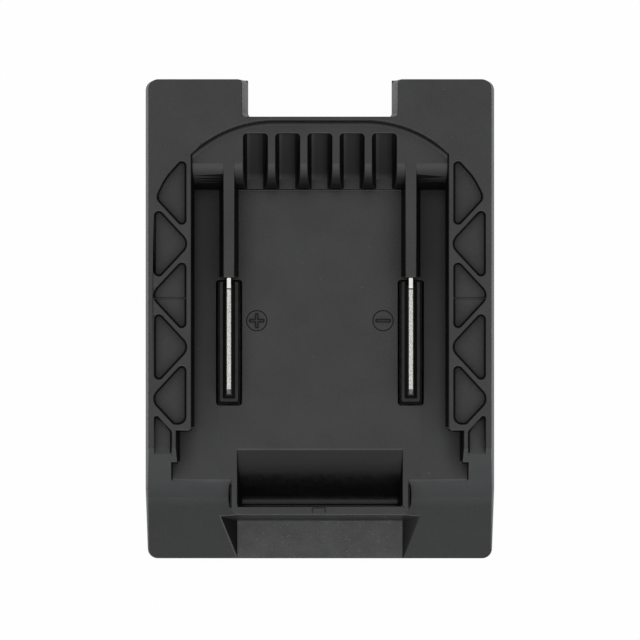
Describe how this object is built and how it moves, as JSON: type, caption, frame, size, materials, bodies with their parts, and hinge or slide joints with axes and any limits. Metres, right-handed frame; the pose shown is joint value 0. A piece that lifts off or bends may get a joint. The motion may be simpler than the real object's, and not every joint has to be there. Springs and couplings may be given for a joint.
{
  "type": "battery adapter",
  "caption": "Slide-on adapter that carries a tool battery in its rail channel and plugs into a tool's foot, with power blades and a sprung release latch.",
  "frame": {"origin": "middle of the tool-side tower face, under the middle of the body's length and width", "axes": "+Z towards the battery, +Y towards the back edge with the notch, +X to the right seen from the battery side"},
  "size_m": [0.0782, 0.1072, 0.045],
  "materials": {
    "housing_plastic": "black, fine satin moulding",
    "holder_plastic": "black, heat-resistant moulding",
    "latch_plastic": "black, matt moulding",
    "blade_plating": "nickel-plated strip, sheared edges",
    "clip_metal": "bright rolled strip",
    "spring_steel": "bright wire",
    "screw_steel": "zinc-plated",
    "red_insulation": "soft satin",
    "black_insulation": "soft satin"
  },
  "bodies": {
    "housing": {"battery_side_shell": "housing_plastic", "tool_side_shell": "housing_plastic", "positive_blade": "blade_plating", "negative_blade": "blade_plating", "positive_blade_holder": "holder_plastic", "negative_blade_holder": "holder_plastic", "positive_clip": "clip_metal", "negative_clip": "clip_metal", "positive_wire": "red_insulation", "negative_wire": "black_insulation", "contact_carrier": "holder_plastic", "latch_retainer": "holder_plastic", "left_latch_spring": "spring_steel", "right_latch_spring": "spring_steel", "housing_screws": "screw_steel", "blade_holder_screws": "screw_steel", "carrier_screws": "screw_steel", "retainer_screws": "screw_steel"},
    "latch": {"release_latch": "latch_plastic"}
  },
  "joints": [
    {"name": "latch_slide", "type": "slide", "parent": "housing", "child": "latch", "axis": [0, 0, 1], "range_m": [0, 0.0036], "stiffness_N_per_m": 1200, "springref_m": -0.003, "deforming": ["left_latch_spring", "right_latch_spring"]}
  ]
}
